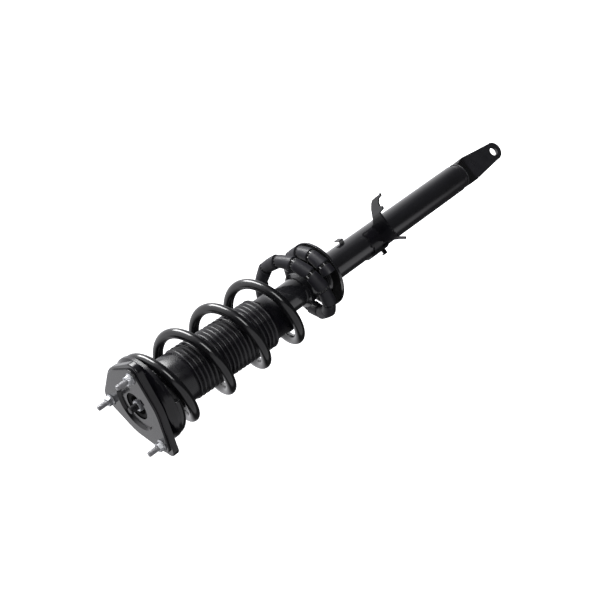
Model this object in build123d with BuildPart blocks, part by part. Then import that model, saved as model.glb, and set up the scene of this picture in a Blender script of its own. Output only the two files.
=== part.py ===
"""Coil-over strut assembly: a three-stud top mount, spring, dust boot and damper with a blade end.

Units are millimetres. +Z runs along the strut axis towards the top mount, the origin is the
centre of the hole in the lower blade, and the blade's hole runs along Y. The strut is drawn at
full extension, with the spring holding the damper against its rebound stop.
"""
from build123d import *
from math import atan2, cos, degrees, radians, sin
import os

os.makedirs("parts", exist_ok=True)

# ---------------------------------------------------------------- driving dimensions
tube_r = 22.5            # outer tube, outside radius
tube_wall = 2.5
tube_bottom_z = 100.0
tube_top_z = 562.0
cap_top_z = tube_top_z + 5.0     # striker cap pressed over the tube

mount_face_z = 775.5     # top face of the upper mount plate, against the car body
plate_t = 3.0            # both mount plates
stud_circle_r = 61.25
stud_r = 4.0             # M8 thread, outside radius
stud_pitch_r = 3.6       # M8 thread where the nut engages it
stud_shank_r = 4.3       # knurled shank, pressed through both plates
stud_length = 23.0       # above the mount face
stud_angle = 182.5       # angle of the single stud; the other two are 120 degrees away

wire_r = 7.4             # spring wire
coil_r = 55.9            # mean radius of the working coils
tail_coil_r = 47.5       # mean radius of the last, reduced coil
first_coil_z = 743.5     # wire centre of the closed upper coil
coil_pitch = 67.0
tip_angle = 65.0 + 180.0 # where the wire starts, on the upper seat

rod_r = 7.0
rod_thread_r = 5.0       # M10
travel = 120.0           # compression that brings the cap up to the bump stop
bump_gap = 1.0           # left between them at the end of the travel

eye_r = 7.5              # hole in the blade
blade_t = 6.0

run_fit = 0.05           # radial running clearance
side_gap = 0.3           # between bodies that only pass each other
through = 60.0           # a cut this long goes right through the mount


def place(angle, radius, z=0.0):
    """Point on a circle about the strut axis."""
    return (radius * cos(radians(angle)), radius * sin(radians(angle)), z)


stud_angles = [stud_angle + 120 * i for i in range(3)]
stud_places = [place(a, stud_circle_r) for a in stud_angles]


def rounded_triangle(centre_r, centre_shift, lobe_r, lobe_at):
    """Outline of a mount plate: a disc and three lobes, one at each stud, wrapped by a hull."""
    with BuildSketch() as outline:
        with Locations((centre_shift, 0)):
            Circle(centre_r)
        with Locations(*[place(a, lobe_at)[:2] for a in stud_angles]):
            Circle(lobe_r)
        make_hull()
    return outline.sketch


# ---------------------------------------------------------------- upper mount plate
hull_shift = 3.0         # the middle of both plates stands off centre, away from the single stud
upper_centre_r = 56.0
upper_lobe_r = 14.0
upper_lobe_at = 60.5
upper_edge_r = 1.0
upper_outline = rounded_triangle(upper_centre_r, hull_shift, upper_lobe_r, upper_lobe_at)
plate_bottom_z = mount_face_z - plate_t
recess_depth = 4.0
recess_floor_r = 33.5
recess_back_r = 38.0     # outside of the pressing, seen from below
recess_slope = 38.0      # side of the recess, from upright
bush_hole_r = 21.0

with BuildPart() as upper_mount_plate:
    with BuildSketch(Plane.XY.offset(plate_bottom_z)):
        add(upper_outline)
    extrude(amount=plate_t)
    fillet(upper_mount_plate.faces().sort_by(Axis.Z)[-1].edges(), upper_edge_r)
    with BuildSketch(Plane.XY.offset(plate_bottom_z - recess_depth)):
        Circle(recess_back_r)
    extrude(amount=recess_depth + 0.01)
    with BuildSketch(Plane.XY.offset(mount_face_z - recess_depth)):
        Circle(recess_floor_r)
    extrude(amount=recess_depth + 1, taper=-recess_slope, mode=Mode.SUBTRACT)
    with BuildSketch(Plane.XY.offset(plate_bottom_z - recess_depth - 1)):
        Circle(bush_hole_r)
        with Locations(*[p[:2] for p in stud_places]):
            Circle(stud_shank_r)
    extrude(amount=through, mode=Mode.SUBTRACT)
upper_mount_plate.part.label = "upper_mount_plate"
export_step(upper_mount_plate.part, "parts/upper_mount_plate.step")

# ---------------------------------------------------------------- lower mount plate
skirt_h = 8.5
skirt_z = plate_bottom_z - skirt_h
skirt_t = 2.5
lower_centre_r = 59.5
lower_lobe_r = 15.0
lower_lobe_at = 67.5
lower_edge_r = 2.0
lower_outline = rounded_triangle(lower_centre_r, hull_shift, lower_lobe_r, lower_lobe_at)
lower_inside = rounded_triangle(
    lower_centre_r - skirt_t, hull_shift, lower_lobe_r - skirt_t, lower_lobe_at,
)
cup_r = 42.5             # outside of the cup that holds the rubber bush
cup_wall = 2.5
cup_floor_z = 743.5
cup_hole_r = 14.0

with BuildPart() as lower_mount_plate:
    with BuildSketch(Plane.XY.offset(skirt_z)):
        add(lower_outline)
    extrude(amount=skirt_h)
    fillet(lower_mount_plate.faces().sort_by(Axis.Z)[-1].edges(), lower_edge_r)
    with BuildSketch(Plane.XY.offset(skirt_z - 1)):
        add(lower_inside)
    extrude(amount=skirt_h + 1 - plate_t, mode=Mode.SUBTRACT)
    with BuildSketch(Plane.XY.offset(cup_floor_z)):
        Circle(cup_r)
    extrude(amount=plate_bottom_z - cup_floor_z)
    with BuildSketch(Plane.XY.offset(cup_floor_z + cup_wall)):
        Circle(cup_r - cup_wall)
    extrude(amount=through, mode=Mode.SUBTRACT)
    with BuildSketch(Plane.XY.offset(cup_floor_z - 1)):
        Circle(cup_hole_r)
        with Locations(*[p[:2] for p in stud_places]):
            Circle(stud_shank_r)
    extrude(amount=through, mode=Mode.SUBTRACT)
lower_mount_plate.part.label = "lower_mount_plate"
export_step(lower_mount_plate.part, "parts/lower_mount_plate.step")

# ---------------------------------------------------------------- studs and their nuts
stud_head_r = 7.0
stud_head_t = 2.5
stud_point = 0.9         # chamfer on the tip
stud_head_z = plate_bottom_z - plate_t - stud_head_t
nut_height = 8.0
nut_top_z = mount_face_z + nut_height
stud_sections = [        # radius, from, to
    (stud_head_r, stud_head_z, stud_head_z + stud_head_t),
    (stud_shank_r, stud_head_z + stud_head_t, mount_face_z),
    (stud_pitch_r, mount_face_z, nut_top_z),
    (stud_r, nut_top_z, mount_face_z + stud_length),
]
with BuildPart() as mount_studs:
    for radius, low, high in stud_sections:
        with BuildSketch(Plane.XY.offset(low)):
            with Locations(*[p[:2] for p in stud_places]):
                Circle(radius)
        extrude(amount=high - low)
    chamfer(mount_studs.faces().group_by(Axis.Z)[-1].edges(), stud_point)
mount_studs.part.label = "mount_studs"
export_step(mount_studs.part, "parts/mount_studs.step")

nut_width = 12.7         # across the flats
nut_flange_r = 8.6
nut_flange_t = 1.6
nut_chamfer = 0.7
with BuildPart() as stud_nuts:
    with BuildSketch(Plane.XY.offset(mount_face_z)):
        with Locations(*[p[:2] for p in stud_places]):
            Circle(nut_flange_r)
    extrude(amount=nut_flange_t)
    with BuildSketch(Plane.XY.offset(mount_face_z + nut_flange_t)):
        with Locations(*[p[:2] for p in stud_places]):
            RegularPolygon(nut_width / 2, 6, major_radius=False)
    extrude(amount=nut_height - nut_flange_t)
    chamfer(stud_nuts.faces().group_by(Axis.Z)[-1].edges(), nut_chamfer)
    with BuildSketch(Plane.XY.offset(mount_face_z - 1)):
        with Locations(*[p[:2] for p in stud_places]):
            Circle(stud_pitch_r)
    extrude(amount=nut_height + 2, mode=Mode.SUBTRACT)
stud_nuts.part.label = "stud_nuts"
export_step(stud_nuts.part, "parts/stud_nuts.step")

# ---------------------------------------------------------------- rubber bush, its sleeve and the rod fixings
rod_shoulder_z = 738.0
boot_cup_t = 2.0
sleeve_bottom_z = rod_shoulder_z + boot_cup_t
sleeve_top_z = 759.5
sleeve_r = 8.0
washer_r = 12.5
washer_t = 2.5
washer_edge_r = 0.8
rod_nut_height = 10.0
rod_nut_width = 15.8     # across the flats
rod_nut_flange_r = 10.9
rod_nut_flange_t = 2.0
rod_nut_chamfer = 0.8
bush_low_z = 747.0
bush_high_z = 768.5
bush_lip_z = 770.0       # moulded lip round the middle opening
bush_well_z = 757.0      # floor of the opening, where the washer sits
bush_well_r = 13.6

with BuildPart() as mount_bush:
    with BuildSketch(Plane.XZ):
        with BuildLine():
            Polyline(
                (sleeve_r, bush_low_z), (cup_r - cup_wall, bush_low_z - 1),
                (cup_r - cup_wall, bush_high_z), (bush_hole_r - 0.5, bush_high_z),
                (bush_hole_r - 1.5, bush_lip_z), (bush_well_r + 0.9, bush_lip_z - 1),
                (bush_well_r, bush_well_z + 1), (sleeve_r, bush_well_z), (sleeve_r, bush_low_z),
            )
        make_face()
    revolve(axis=Axis.Z)
mount_bush.part.label = "mount_bush"
export_step(mount_bush.part, "parts/mount_bush.step")

with BuildPart() as bush_sleeve:
    with BuildSketch(Plane.XY.offset(sleeve_bottom_z)):
        Circle(sleeve_r)
        Circle(rod_thread_r, mode=Mode.SUBTRACT)
    extrude(amount=sleeve_top_z - sleeve_bottom_z)
bush_sleeve.part.label = "bush_sleeve"
export_step(bush_sleeve.part, "parts/bush_sleeve.step")

with BuildPart() as rod_washer:
    with BuildSketch(Plane.XY.offset(sleeve_top_z)):
        Circle(washer_r)
        Circle(rod_thread_r, mode=Mode.SUBTRACT)
    extrude(amount=washer_t)
    fillet(rod_washer.faces().sort_by(Axis.Z)[-1].edges().sort_by(SortBy.RADIUS)[-1:], washer_edge_r)
rod_washer.part.label = "rod_washer"
export_step(rod_washer.part, "parts/rod_washer.step")

rod_nut_z = sleeve_top_z + washer_t
with BuildPart() as rod_nut:
    with BuildSketch(Plane.XY.offset(rod_nut_z)):
        Circle(rod_nut_flange_r)
    extrude(amount=rod_nut_flange_t)
    with BuildSketch(Plane.XY.offset(rod_nut_z + rod_nut_flange_t)):
        RegularPolygon(rod_nut_width / 2, 6, major_radius=False)
    extrude(amount=rod_nut_height - rod_nut_flange_t)
    chamfer(rod_nut.faces().sort_by(Axis.Z)[-1].edges(), rod_nut_chamfer)
    with BuildSketch(Plane.XY.offset(rod_nut_z)):
        Circle(rod_thread_r)
    extrude(amount=rod_nut_height + 1, mode=Mode.SUBTRACT)
rod_nut.part.label = "rod_nut"
export_step(rod_nut.part, "parts/rod_nut.step")

# ---------------------------------------------------------------- piston rod and what it carries
rod_tip_z = mount_face_z + 8.0
rod_key_r = 2.5          # hexagon socket that holds the rod while its nut is turned
rod_key_depth = 5.0
piston_bottom_z = 470.0
piston_h = 22.0
piston_spigot_r = 5.0
piston_spigot_h = 12.0   # below the piston, for its nut
piston_gap = 0.3
piston_port_r = 1.5
piston_port_at = 9.6
piston_ports = 8
pressure_tube_r = 15.0   # bore of the inner tube

with BuildPart() as piston_rod:
    with BuildSketch(Plane.XY.offset(piston_bottom_z + piston_h)):
        Circle(rod_r)
    extrude(amount=rod_shoulder_z - piston_bottom_z - piston_h)
    with BuildSketch(Plane.XY.offset(piston_bottom_z - piston_spigot_h)):
        Circle(piston_spigot_r)
    extrude(amount=piston_h + piston_spigot_h)
    with BuildSketch(Plane.XY.offset(rod_shoulder_z)):
        Circle(rod_thread_r)
    extrude(amount=rod_tip_z - rod_shoulder_z)
    chamfer(piston_rod.faces().sort_by(Axis.Z)[-1].edges(), 1.0)
    with BuildSketch(Plane.XY.offset(rod_tip_z - rod_key_depth)):
        RegularPolygon(rod_key_r, 6, major_radius=False)
    extrude(amount=rod_key_depth + 1, mode=Mode.SUBTRACT)
piston_rod.part.label = "piston_rod"
export_step(piston_rod.part, "parts/piston_rod.step")

band_h = 10.0
band_t = 1.6
with BuildPart() as piston:
    with BuildSketch(Plane.XY.offset(piston_bottom_z)):
        Circle(pressure_tube_r - piston_gap)
        Circle(piston_spigot_r, mode=Mode.SUBTRACT)
        with PolarLocations(piston_port_at, piston_ports):
            Circle(piston_port_r, mode=Mode.SUBTRACT)
    extrude(amount=piston_h)
    with BuildSketch(Plane.XY.offset(piston_bottom_z + (piston_h - band_h) / 2)):
        Circle(pressure_tube_r + 1)
        Circle(pressure_tube_r - band_t, mode=Mode.SUBTRACT)
    extrude(amount=band_h, mode=Mode.SUBTRACT)
piston.part.label = "piston"
export_step(piston.part, "parts/piston.step")

with BuildPart() as piston_band:
    with BuildSketch(Plane.XY.offset(piston_bottom_z + (piston_h - band_h) / 2)):
        Circle(pressure_tube_r - run_fit)
        Circle(pressure_tube_r - band_t, mode=Mode.SUBTRACT)
    extrude(amount=band_h)
piston_band.part.label = "piston_band"
export_step(piston_band.part, "parts/piston_band.step")

piston_nut_h = 8.0
piston_nut_width = 15.0
with BuildPart() as piston_nut:
    with BuildSketch(Plane.XY.offset(piston_bottom_z - piston_nut_h)):
        RegularPolygon(piston_nut_width / 2, 6, major_radius=False)
        Circle(piston_spigot_r, mode=Mode.SUBTRACT)
    extrude(amount=piston_nut_h)
piston_nut.part.label = "piston_nut"
export_step(piston_nut.part, "parts/piston_nut.step")

guide_spigot_z = tube_top_z - 27.0
rebound_stop_h = 10.0
rebound_stop_r = 12.5
rebound_edge_r = 2.5
with BuildPart() as rebound_stop:
    with BuildSketch(Plane.XY.offset(guide_spigot_z - side_gap - rebound_stop_h)):
        Circle(rebound_stop_r)
        Circle(rod_r, mode=Mode.SUBTRACT)
    extrude(amount=rebound_stop_h)
    fillet(rebound_stop.faces().sort_by(Axis.Z)[-1].edges().sort_by(SortBy.RADIUS)[-1:], rebound_edge_r)
rebound_stop.part.label = "rebound_stop"
export_step(rebound_stop.part, "parts/rebound_stop.step")

bump_stop_length = rod_shoulder_z - cap_top_z - travel - bump_gap
bump_stop_r = 22.0
bump_cup_t = 1.8
bump_cup_depth = 9.0
with BuildPart() as bump_stop_cup:
    with BuildSketch(Plane.XZ):
        with BuildLine():
            Polyline(
                (rod_thread_r, rod_shoulder_z), (bump_stop_r, rod_shoulder_z),
                (bump_stop_r, rod_shoulder_z - bump_cup_depth),
                (bump_stop_r + bump_cup_t, rod_shoulder_z - bump_cup_depth),
                (bump_stop_r + bump_cup_t, sleeve_bottom_z), (rod_thread_r, sleeve_bottom_z),
                (rod_thread_r, rod_shoulder_z),
            )
        make_face()
    revolve(axis=Axis.Z)
bump_stop_cup.part.label = "bump_stop_cup"
export_step(bump_stop_cup.part, "parts/bump_stop_cup.step")

bump_bottom_z = rod_shoulder_z - bump_stop_length
bump_bulge_h = 12.0      # each of the three bulges, slimmer going down
bump_tip_r = 13.0
bump_bore_r = rod_r + 0.4
bump_outline = [(bump_stop_r, rod_shoulder_z), (bump_stop_r, rod_shoulder_z - bump_bulge_h)]
for i in range(3):
    low = rod_shoulder_z - bump_bulge_h * (i + 1)
    bump_outline.append((bump_stop_r - 4.5 - i, low - 3.5))
    bump_outline.append((bump_stop_r - 1.5 - 1.5 * i, low - 8))
bump_outline += [(bump_tip_r, bump_bottom_z), (bump_bore_r, bump_bottom_z)]
with BuildPart() as bump_stop:
    with BuildSketch(Plane.XZ):
        with BuildLine():
            Polyline(*bump_outline, (bump_bore_r, rod_shoulder_z), bump_outline[0])
        make_face()
    revolve(axis=Axis.Z)
bump_stop.part.label = "bump_stop"
export_step(bump_stop.part, "parts/bump_stop.step")

# ---------------------------------------------------------------- upper spring seat and its isolator
seat_top_z = plate_bottom_z - plate_t
seat_t = 2.4
seat_rim_r = 64.5
seat_rim_z = 748.5
seat_crown_r = 47.6       # underside of the seat, where its flat turns into the cone
seat_cone_r = 59.0       # underside, where the cone turns down to the rim
seat_cone_z = 756.0
isolator_r = 61.5
isolator_bore_r = 45.0
isolator_lip = 6.0       # hangs inside the first coil
with BuildPart() as upper_spring_seat:
    with BuildSketch(Plane.XZ):
        with BuildLine():
            Polyline(
                (cup_r, seat_top_z), (seat_crown_r + 0.9, seat_top_z),
                (seat_cone_r + 1.5, seat_cone_z + 2), (seat_rim_r, seat_rim_z + 5),
                (seat_rim_r, seat_rim_z), (seat_rim_r - seat_t, seat_rim_z),
                (seat_rim_r - seat_t, seat_rim_z + 4.1), (seat_cone_r, seat_cone_z),
                (seat_crown_r, seat_top_z - seat_t),
                (cup_r, seat_top_z - seat_t), (cup_r, seat_top_z),
            )
        make_face()
    revolve(axis=Axis.Z)
upper_spring_seat.part.label = "upper_spring_seat"
export_step(upper_spring_seat.part, "parts/upper_spring_seat.step")

isolator_z = first_coil_z + wire_r + side_gap
inside_coil_r = coil_r - wire_r - 0.6
with BuildPart() as upper_isolator:
    with BuildSketch(Plane.XZ):
        with BuildLine():
            Polyline(
                (cup_r, seat_top_z - seat_t), (seat_crown_r, seat_top_z - seat_t),
                (seat_cone_r, seat_cone_z), (isolator_r, seat_cone_z - 2.8), (isolator_r, isolator_z),
                (inside_coil_r, isolator_z), (inside_coil_r, isolator_z - isolator_lip),
                (isolator_bore_r, isolator_z - isolator_lip),
                (cup_r, isolator_z + 3), (cup_r, seat_top_z - seat_t),
            )
        make_face()
    revolve(axis=Axis.Z)
upper_isolator.part.label = "upper_isolator"
export_step(upper_isolator.part, "parts/upper_isolator.step")


# ---------------------------------------------------------------- coil spring and its sleeves
def coil_drop(turn):
    """Fall of the wire centre below the first coil, with closed ends and an open middle."""
    start, full, slow, flat = 0.55, 0.95, 5.10, 5.62
    ramp_in = coil_pitch * (full - start) / 2
    if turn < start:
        return 0.0
    if turn < full:
        return coil_pitch * (turn - start) ** 2 / (2 * (full - start))
    if turn < slow:
        return ramp_in + coil_pitch * (turn - full)
    late = min(turn, flat) - slow
    return ramp_in + coil_pitch * (slow - full + late - late ** 2 / (2 * (flat - slow)))


def coil_radius(turn):
    """Mean radius: constant, then drawn in over the last turn."""
    shrink_from, shrink_to = 4.62, 5.45
    s = min(max((turn - shrink_from) / (shrink_to - shrink_from), 0.0), 1.0)
    return coil_r + (tail_coil_r - coil_r) * s * s * (3 - 2 * s)


def wire_point(turn):
    """Centre of the wire; the coil is right-handed, so it turns clockwise going down."""
    return Vector(*place(tip_angle - 360 * turn, coil_radius(turn), first_coil_z - coil_drop(turn)))


coil_turns = 5.95
steps_per_turn = 16


def wire_along(first, last):
    """Points of the wire centre from one turn to another."""
    count = max(4, round((last - first) * steps_per_turn))
    return [wire_point(first + (last - first) * i / count) for i in range(count + 1)]


with BuildPart() as coil_spring:
    with BuildLine() as wire_path:
        Spline(*wire_along(0.0, coil_turns))
    with BuildSketch(Plane(wire_path.line @ 0, z_dir=wire_path.line % 0)):
        Circle(wire_r)
    sweep(path=wire_path.line)
coil_spring.part.label = "coil_spring"
export_step(coil_spring.part, "parts/coil_spring.step")

sleeve_outer_r = 10.7
sleeve_inner_r = wire_r + run_fit
sleeved_from = 4.327     # in turns from the upper end
segments_per_turn = 12
segment_gap = 0.012      # in turns, between two sleeve segments
segment_count = 20

sleeve_solids = []
for i in range(segment_count):
    first = sleeved_from + i / segments_per_turn
    last = min(first + 1 / segments_per_turn - segment_gap, coil_turns)
    with BuildPart() as segment:
        with BuildLine() as segment_path:
            Spline(*wire_along(first, last))
        with BuildSketch(Plane(segment_path.line @ 0, z_dir=segment_path.line % 0)):
            Circle(sleeve_outer_r)
            Circle(sleeve_inner_r, mode=Mode.SUBTRACT)
        sweep(path=segment_path.line)
    sleeve_solids.append(segment.part.solid())
spring_sleeves = Compound(label="spring_sleeves", children=sleeve_solids)
export_step(spring_sleeves, "parts/spring_sleeves.step")

# ---------------------------------------------------------------- dust boot
boot_top_z = cup_floor_z
boot_r = 38.6
boot_wall = 1.8
boot_flange_t = 2.4
boot_flange_r = 27.0
rib_top_z = 694.0
rib_pitch = 7.35
rib_count = 20
rib_depth = 2.6
boot_end_z = 512.0
boot_skirt_r = 33.0
boot_sag = 7.8           # the soft lower end leans towards -X and rests on the tube
boot_lean = degrees(atan2(boot_sag, boot_top_z - boot_end_z))
boot_step = 0.6          # ribs stand proud of the plain top by this
boot_shoulder_h = 4.5    # from the last rib down to the skirt
above = 2.0              # the leaning boot is cut off square to the mount afterwards


def boot_line(shift, top):
    """Half section of the boot from top to bottom, from its top centre, moved inwards by shift."""
    points = [(boot_r - boot_step - shift, top), (boot_r - boot_step - shift, rib_top_z - boot_top_z)]
    for i in range(rib_count):
        z = rib_top_z - boot_top_z - i * rib_pitch
        points.append((boot_r - rib_depth - shift, z - 0.25 * rib_pitch))
        points.append((boot_r + boot_step - shift, z - 0.75 * rib_pitch))
    low = rib_top_z - boot_top_z - rib_count * rib_pitch
    points.append((boot_skirt_r - shift, low - boot_shoulder_h))
    points.append((boot_skirt_r - shift, boot_end_z - boot_top_z))
    return points


with BuildPart() as dust_boot:
    upright = Plane(origin=(0, 0, boot_top_z), x_dir=(1, 0, 0), z_dir=(0, -1, 0))
    leaning = upright.rotated((0, boot_lean, 0))
    with BuildSketch(leaning):
        with BuildLine():
            outside = boot_line(0, above)
            inside = boot_line(boot_wall, -boot_flange_t)
            flange = [(boot_flange_r, -boot_flange_t), (boot_flange_r, above)]
            Polyline(*outside, *reversed(inside), *flange, outside[0])
        make_face()
    revolve(axis=Axis(leaning.origin, leaning.y_dir))
    with BuildSketch(Plane.XY.offset(boot_top_z)):
        Circle(2 * boot_r)
    extrude(amount=3 * above, mode=Mode.SUBTRACT)
dust_boot.part.label = "dust_boot"
export_step(dust_boot.part, "parts/dust_boot.step")

# ---------------------------------------------------------------- damper tubes, guide, seal and valve
tube_end_r = 2.0
with BuildPart() as strut_tube:
    with BuildSketch(Plane.XY.offset(tube_bottom_z)):
        Circle(tube_r)
        Circle(tube_r - tube_wall, mode=Mode.SUBTRACT)
    extrude(amount=tube_top_z - tube_bottom_z)
    ends = strut_tube.edges().filter_by(GeomType.CIRCLE).filter_by(lambda e: e.radius > tube_r - 0.1)
    fillet(ends.sort_by(Axis.Z)[:1], tube_end_r)
strut_tube.part.label = "strut_tube"
export_step(strut_tube.part, "parts/strut_tube.step")

seal_recess = 9.0        # depth of the seal below the end of the tube
guide_flange_h = 12.0
guide_top_z = tube_top_z - seal_recess
guide_bottom_z = guide_top_z - guide_flange_h
inner_r = tube_r - tube_wall
with BuildPart() as rod_guide:
    with BuildSketch(Plane.XY.offset(guide_bottom_z)):
        Circle(inner_r)
    extrude(amount=guide_top_z - guide_bottom_z)
    with BuildSketch(Plane.XY.offset(guide_spigot_z)):
        Circle(pressure_tube_r)
    extrude(amount=guide_bottom_z - guide_spigot_z)
    with BuildSketch(Plane.XY.offset(guide_spigot_z)):
        Circle(rod_r + run_fit)
    extrude(amount=through, mode=Mode.SUBTRACT)
rod_guide.part.label = "rod_guide"
export_step(rod_guide.part, "parts/rod_guide.step")

seal_floor_t = 2.5
seal_lip_t = 1.6
seal_well_r = 13.0
with BuildPart() as rod_seal:
    with BuildSketch(Plane.XY.offset(guide_top_z)):
        Circle(inner_r)
        Circle(rod_r + run_fit, mode=Mode.SUBTRACT)
    extrude(amount=seal_recess - 1)
    with BuildSketch(Plane.XY.offset(guide_top_z + seal_floor_t)):
        Circle(seal_well_r)
        Circle(rod_r + seal_lip_t, mode=Mode.SUBTRACT)
    extrude(amount=seal_recess, mode=Mode.SUBTRACT)
rod_seal.part.label = "rod_seal"
export_step(rod_seal.part, "parts/rod_seal.step")

cap_h = 14.0
cap_t = 2.0
cap_top_t = cap_top_z - tube_top_z
cap_hole_r = rod_r + 1.5
with BuildPart() as striker_cap:
    with BuildSketch(Plane.XY.offset(cap_top_z - cap_h)):
        Circle(tube_r + cap_t)
    extrude(amount=cap_h)
    fillet(striker_cap.faces().sort_by(Axis.Z)[-1].edges(), cap_t)
    with BuildSketch(Plane.XY.offset(cap_top_z - cap_h - 1)):
        Circle(tube_r)
    extrude(amount=cap_h + 1 - cap_top_t, mode=Mode.SUBTRACT)
    with BuildSketch(Plane.XY.offset(tube_top_z - 1)):
        Circle(cap_hole_r)
    extrude(amount=cap_top_t + 2, mode=Mode.SUBTRACT)
striker_cap.part.label = "striker_cap"
export_step(striker_cap.part, "parts/striker_cap.step")

valve_z = 112.0
valve_h = 14.0
valve_step_h = 6.0       # the inner tube stands on this step
valve_port_r = 1.6
valve_port_at = 9.0
valve_ports = 6
valve_slots = 4
valve_slot_h = 3.0
pressure_wall = 1.5
with BuildPart() as pressure_tube:
    with BuildSketch(Plane.XY.offset(valve_z + valve_step_h)):
        Circle(pressure_tube_r + pressure_wall)
        Circle(pressure_tube_r, mode=Mode.SUBTRACT)
    extrude(amount=guide_bottom_z - valve_z - valve_step_h)
pressure_tube.part.label = "pressure_tube"
export_step(pressure_tube.part, "parts/pressure_tube.step")

with BuildPart() as base_valve:
    with BuildSketch(Plane.XY.offset(valve_z)):
        Circle(pressure_tube_r + pressure_wall)
    extrude(amount=valve_step_h)
    with BuildSketch(Plane.XY.offset(valve_z + valve_step_h)):
        Circle(pressure_tube_r)
    extrude(amount=valve_h - valve_step_h)
    with BuildSketch(Plane.XY.offset(valve_z)):
        with PolarLocations(valve_port_at, valve_ports):
            Circle(valve_port_r)
    extrude(amount=valve_h, mode=Mode.SUBTRACT)
    with BuildSketch(Plane.XY.offset(valve_z)):
        with PolarLocations(pressure_tube_r + pressure_wall, valve_slots):
            Rectangle(valve_slot_h, valve_slot_h + 1)
    extrude(amount=valve_slot_h, mode=Mode.SUBTRACT)
base_valve.part.label = "base_valve"
export_step(base_valve.part, "parts/base_valve.step")

cup_bottom_z = 90.0
cup_edge_r = 2.5
cup_well_r = 12.0        # hollow under the valve
cup_well_depth = 5.0
with BuildPart() as base_cup:
    with BuildSketch(Plane.XY.offset(tube_bottom_z)):
        Circle(inner_r)
    extrude(amount=valve_z - tube_bottom_z)
    with BuildSketch(Plane.XY.offset(cup_bottom_z)):
        Circle(inner_r)
    extrude(amount=tube_bottom_z - cup_bottom_z)
    fillet(base_cup.faces().sort_by(Axis.Z)[0].edges(), cup_edge_r)
    with BuildSketch(Plane.XY.offset(valve_z - cup_well_depth)):
        Circle(cup_well_r)
    extrude(amount=cup_well_depth + 1, mode=Mode.SUBTRACT)
base_cup.part.label = "base_cup"
export_step(base_cup.part, "parts/base_cup.step")

# ---------------------------------------------------------------- lower blade
blade_root_z = 66.0      # where the flat blade starts to open out into the round end
blade_root_w = 44.0
blade_root_h = 10.0      # keeps its full width up to here above the root
blade_rim_h = 4.0        # upright rim at the weld
eye_side_z = 3.0         # the blade tapers from here up
blade_top_w = 42.0
blade_top_t = 26.0
eye_end_r = 15.5
round_end_r = 22.1
opening_r = 16.0         # bend where the flat blade opens out
with BuildPart() as lower_blade:
    with BuildSketch(Plane.XZ.offset(-round_end_r)):
        with BuildLine():
            Polyline(
                (-blade_top_w / 2, cup_bottom_z), (-blade_root_w / 2, blade_root_z + blade_root_h),
                (-blade_root_w / 2, blade_root_z), (-eye_end_r, eye_side_z), (-eye_end_r, 0),
            )
            ThreePointArc((-eye_end_r, 0), (0, -eye_end_r), (eye_end_r, 0))
            Polyline(
                (eye_end_r, 0), (eye_end_r, eye_side_z), (blade_root_w / 2, blade_root_z),
                (blade_root_w / 2, blade_root_z + blade_root_h), (blade_top_w / 2, cup_bottom_z),
                (-blade_top_w / 2, cup_bottom_z),
            )
        make_face()
    extrude(amount=2 * round_end_r)
    with BuildSketch(Plane.YZ.offset(-2 * round_end_r)) as side_view:
        with BuildLine():
            Polyline(
                (-blade_t / 2, -2 * eye_end_r), (blade_t / 2, -2 * eye_end_r),
                (blade_t / 2, blade_root_z), (blade_top_t / 2, cup_bottom_z - blade_rim_h),
                (blade_top_t / 2, cup_bottom_z), (-blade_top_t / 2, cup_bottom_z),
                (-blade_top_t / 2, cup_bottom_z - blade_rim_h), (-blade_t / 2, blade_root_z),
                (-blade_t / 2, -2 * eye_end_r),
            )
        make_face()
        bends = side_view.vertices().group_by(Axis.Y)[1]
        fillet(bends, opening_r)
    extrude(amount=4 * round_end_r, mode=Mode.INTERSECT)
    with BuildSketch(Plane.XY.offset(-2 * eye_end_r)):
        Circle(round_end_r)
    extrude(amount=2 * cup_bottom_z, mode=Mode.INTERSECT)
    with BuildSketch(Plane.XZ.offset(-blade_t)):
        Circle(eye_r)
    extrude(amount=2 * blade_t, mode=Mode.SUBTRACT)
lower_blade.part.label = "lower_blade"
export_step(lower_blade.part, "parts/lower_blade.step")

# ---------------------------------------------------------------- lower spring seat and its isolator
pad_gap = 0.1
tail_coil_z = first_coil_z - coil_drop(coil_turns)
lower_pad_z = tail_coil_z - sleeve_outer_r - pad_gap
lower_pad_t = 3.0
dish_z = lower_pad_z - lower_pad_t
dish_t = 2.8
dish_rim_r = 53.0
dish_shift = 3.5         # the dish stands off centre, towards +X
dish_lip = 2.6           # the turned-up rim, as high as it is thick
dish_axis = Axis((dish_shift, 0, 0), (0, 0, 1))
dish_bevel = 2.5
neck_top_z = 467.0
neck_r = 25.3
neck_flare = 6.0         # the neck widens over this height into the dish
collar_r = 28.0
collar_h = 6.0
with BuildPart() as lower_spring_seat:
    with BuildSketch(Plane.XZ):
        with BuildLine():
            Polyline(
                (tube_r, neck_top_z), (collar_r, neck_top_z - 1.2), (collar_r, neck_top_z - collar_h),
                (neck_r, neck_top_z - collar_h - 2.5), (neck_r, dish_z + neck_flare),
                (neck_r + neck_flare - 1, dish_z), (neck_r + neck_flare, dish_z - dish_t),
                (tube_r, dish_z - 2 * neck_flare), (tube_r, neck_top_z),
            )
        make_face()
    revolve(axis=Axis.Z)
    with BuildSketch(Plane.XZ.move(Location((dish_shift, 0, 0)))):
        with BuildLine():
            Polyline(
                (0, dish_z), (dish_rim_r - dish_lip, dish_z), (dish_rim_r - 2.4, dish_z + dish_lip),
                (dish_rim_r, dish_z + dish_lip), (dish_rim_r, dish_z - dish_t + dish_bevel),
                (dish_rim_r - dish_bevel, dish_z - dish_t), (0, dish_z - dish_t), (0, dish_z),
            )
        make_face()
    revolve(axis=dish_axis)
    with BuildSketch(Plane.XY.offset(dish_z - 2 * dish_t)):
        Circle(tube_r)
    extrude(amount=4 * dish_t, mode=Mode.SUBTRACT)
lower_spring_seat.part.label = "lower_spring_seat"
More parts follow.
